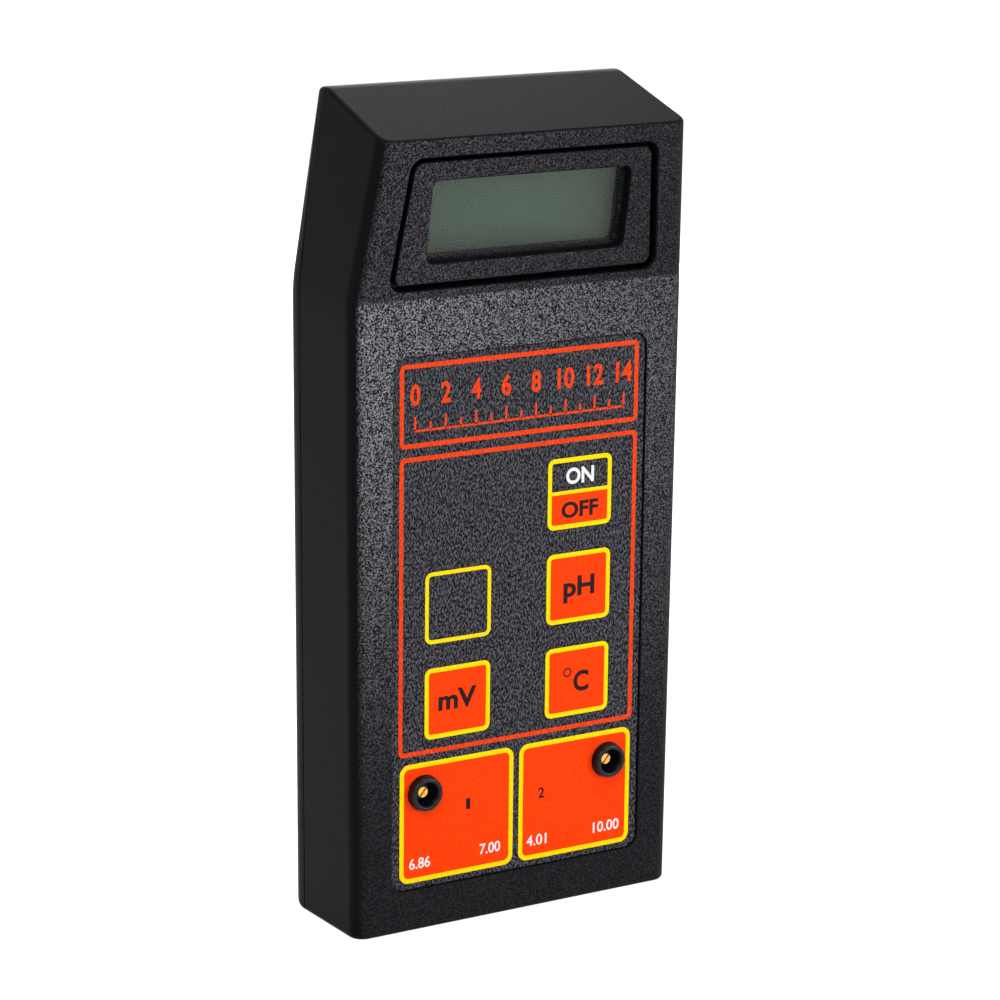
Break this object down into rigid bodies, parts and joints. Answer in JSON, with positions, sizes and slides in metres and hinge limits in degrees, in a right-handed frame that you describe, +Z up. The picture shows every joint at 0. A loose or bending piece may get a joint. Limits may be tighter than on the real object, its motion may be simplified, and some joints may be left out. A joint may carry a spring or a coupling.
{
  "type": "portable ph meter",
  "caption": "Handheld black moulded meter with a tilted display head, an orange and yellow keypad panel, calibration trimmers, a battery door and probe sockets at the back.",
  "frame": {"origin": "middle of the flat foot that the meter stands on, halfway through the case's depth", "axes": "+X to the right seen from the front, the front faces -Y, +Z up the meter's length"},
  "size_m": [0.082, 0.0479, 0.179],
  "materials": {
    "case_plastic": "fine grained black ABS",
    "door_plastic": "fine grained black ABS",
    "bezel_plastic": "coarse grained black ABS",
    "overlay_film": "textured polyester film with orange and yellow print",
    "bush_plastic": "smooth black plastic",
    "circuit_film": "polyester film circuit",
    "dome_steel": "stainless spring steel",
    "flex_film": "polyimide film",
    "connector_plastic": "nylon",
    "trimmer_plastic": "blue thermoplastic",
    "brass": "plain brass",
    "board_laminate": "green glass epoxy",
    "screw_steel": "zinc plated steel",
    "black_screw_steel": "black oxide steel",
    "chip_epoxy": "moulded epoxy",
    "capacitor_sleeve": "shrink sleeve",
    "window_acrylic": "clear acrylic",
    "lcd_glass": "reflective grey green liquid crystal glass",
    "carrier_plastic": "white ABS",
    "strip_rubber": "conductive silicone",
    "pad_foam": "soft foam",
    "battery_can": "plain printed steel can",
    "snap_plastic": "soft PVC",
    "nickel": "bright nickel plate",
    "insulator": "white fluoropolymer",
    "contact_gold": "gold plated brass",
    "lead_black": "PVC",
    "lead_red": "PVC"
  },
  "bodies": {
    "case": {"amplifier_chips": "chip_epoxy", "battery": "battery_can", "battery_lead_black": "lead_black", "battery_lead_red": "lead_red", "battery_pad": "pad_foam", "battery_snap": "snap_plastic", "board_screws": "screw_steel", "capacitors": "capacitor_sleeve", "case_screws": "black_screw_steel", "contact_strips": "strip_rubber", "converter_chip": "chip_epoxy", "display_bezel": "bezel_plastic", "display_board": "board_laminate", "display_ribbon": "flex_film", "display_screws": "screw_steel", "display_window": "window_acrylic", "electrode_lead": "lead_black", "electrode_socket": "nickel", "front_shell": "case_plastic", "keypad_circuit": "circuit_film", "keypad_overlay": "overlay_film", "keypad_tail": "flex_film", "lcd_carrier": "carrier_plastic", "lcd_panel": "lcd_glass", "main_board": "board_laminate", "probe_jack": "bush_plastic", "probe_jack_nut": "nickel", "probe_lead": "lead_black", "rear_shell": "case_plastic", "snap_domes": "dome_steel", "socket_contact": "contact_gold", "socket_insulator": "insulator", "socket_nut": "nickel", "socket_washer": "nickel", "tail_connector": "connector_plastic", "trimmer_body_left": "trimmer_plastic", "trimmer_body_right": "trimmer_plastic", "trimmer_bush_left": "bush_plastic", "trimmer_bush_right": "bush_plastic"},
    "key_millivolt": {"key_millivolt": "overlay_film"},
    "key_celsius": {"key_celsius": "overlay_film"},
    "key_ph": {"key_ph": "overlay_film"},
    "key_power": {"key_power": "overlay_film"},
    "trimmer_screw_left": {"trimmer_screw_left": "brass"},
    "trimmer_screw_right": {"trimmer_screw_right": "brass"},
    "battery_door": {"battery_door": "door_plastic"}
  },
  "joints": [
    {"name": "key_millivolt_press", "type": "slide", "parent": "case", "child": "key_millivolt", "axis": [0, 1, 0], "range_m": [0, 0.0003], "stiffness_N_per_m": 3000},
    {"name": "key_celsius_press", "type": "slide", "parent": "case", "child": "key_celsius", "axis": [0, 1, 0], "range_m": [0, 0.0003], "stiffness_N_per_m": 3000},
    {"name": "key_ph_press", "type": "slide", "parent": "case", "child": "key_ph", "axis": [0, 1, 0], "range_m": [0, 0.0003], "stiffness_N_per_m": 3000},
    {"name": "key_power_press", "type": "slide", "parent": "case", "child": "key_power", "axis": [0, 1, 0], "range_m": [0, 0.0003], "stiffness_N_per_m": 3000},
    {"name": "trimmer_turn_left", "type": "hinge", "parent": "case", "child": "trimmer_screw_left", "pos_m": [-0.0233, -0.012, 0.0305], "axis": [0, -1, 0], "range_deg": [-135, 135]},
    {"name": "trimmer_turn_right", "type": "hinge", "parent": "case", "child": "trimmer_screw_right", "pos_m": [0.0233, -0.012, 0.0305], "axis": [0, -1, 0], "range_deg": [-135, 135]},
    {"name": "battery_door_slide", "type": "slide", "parent": "case", "child": "battery_door", "axis": [0, 0, -1], "range_m": [0, 0.025]}
  ]
}
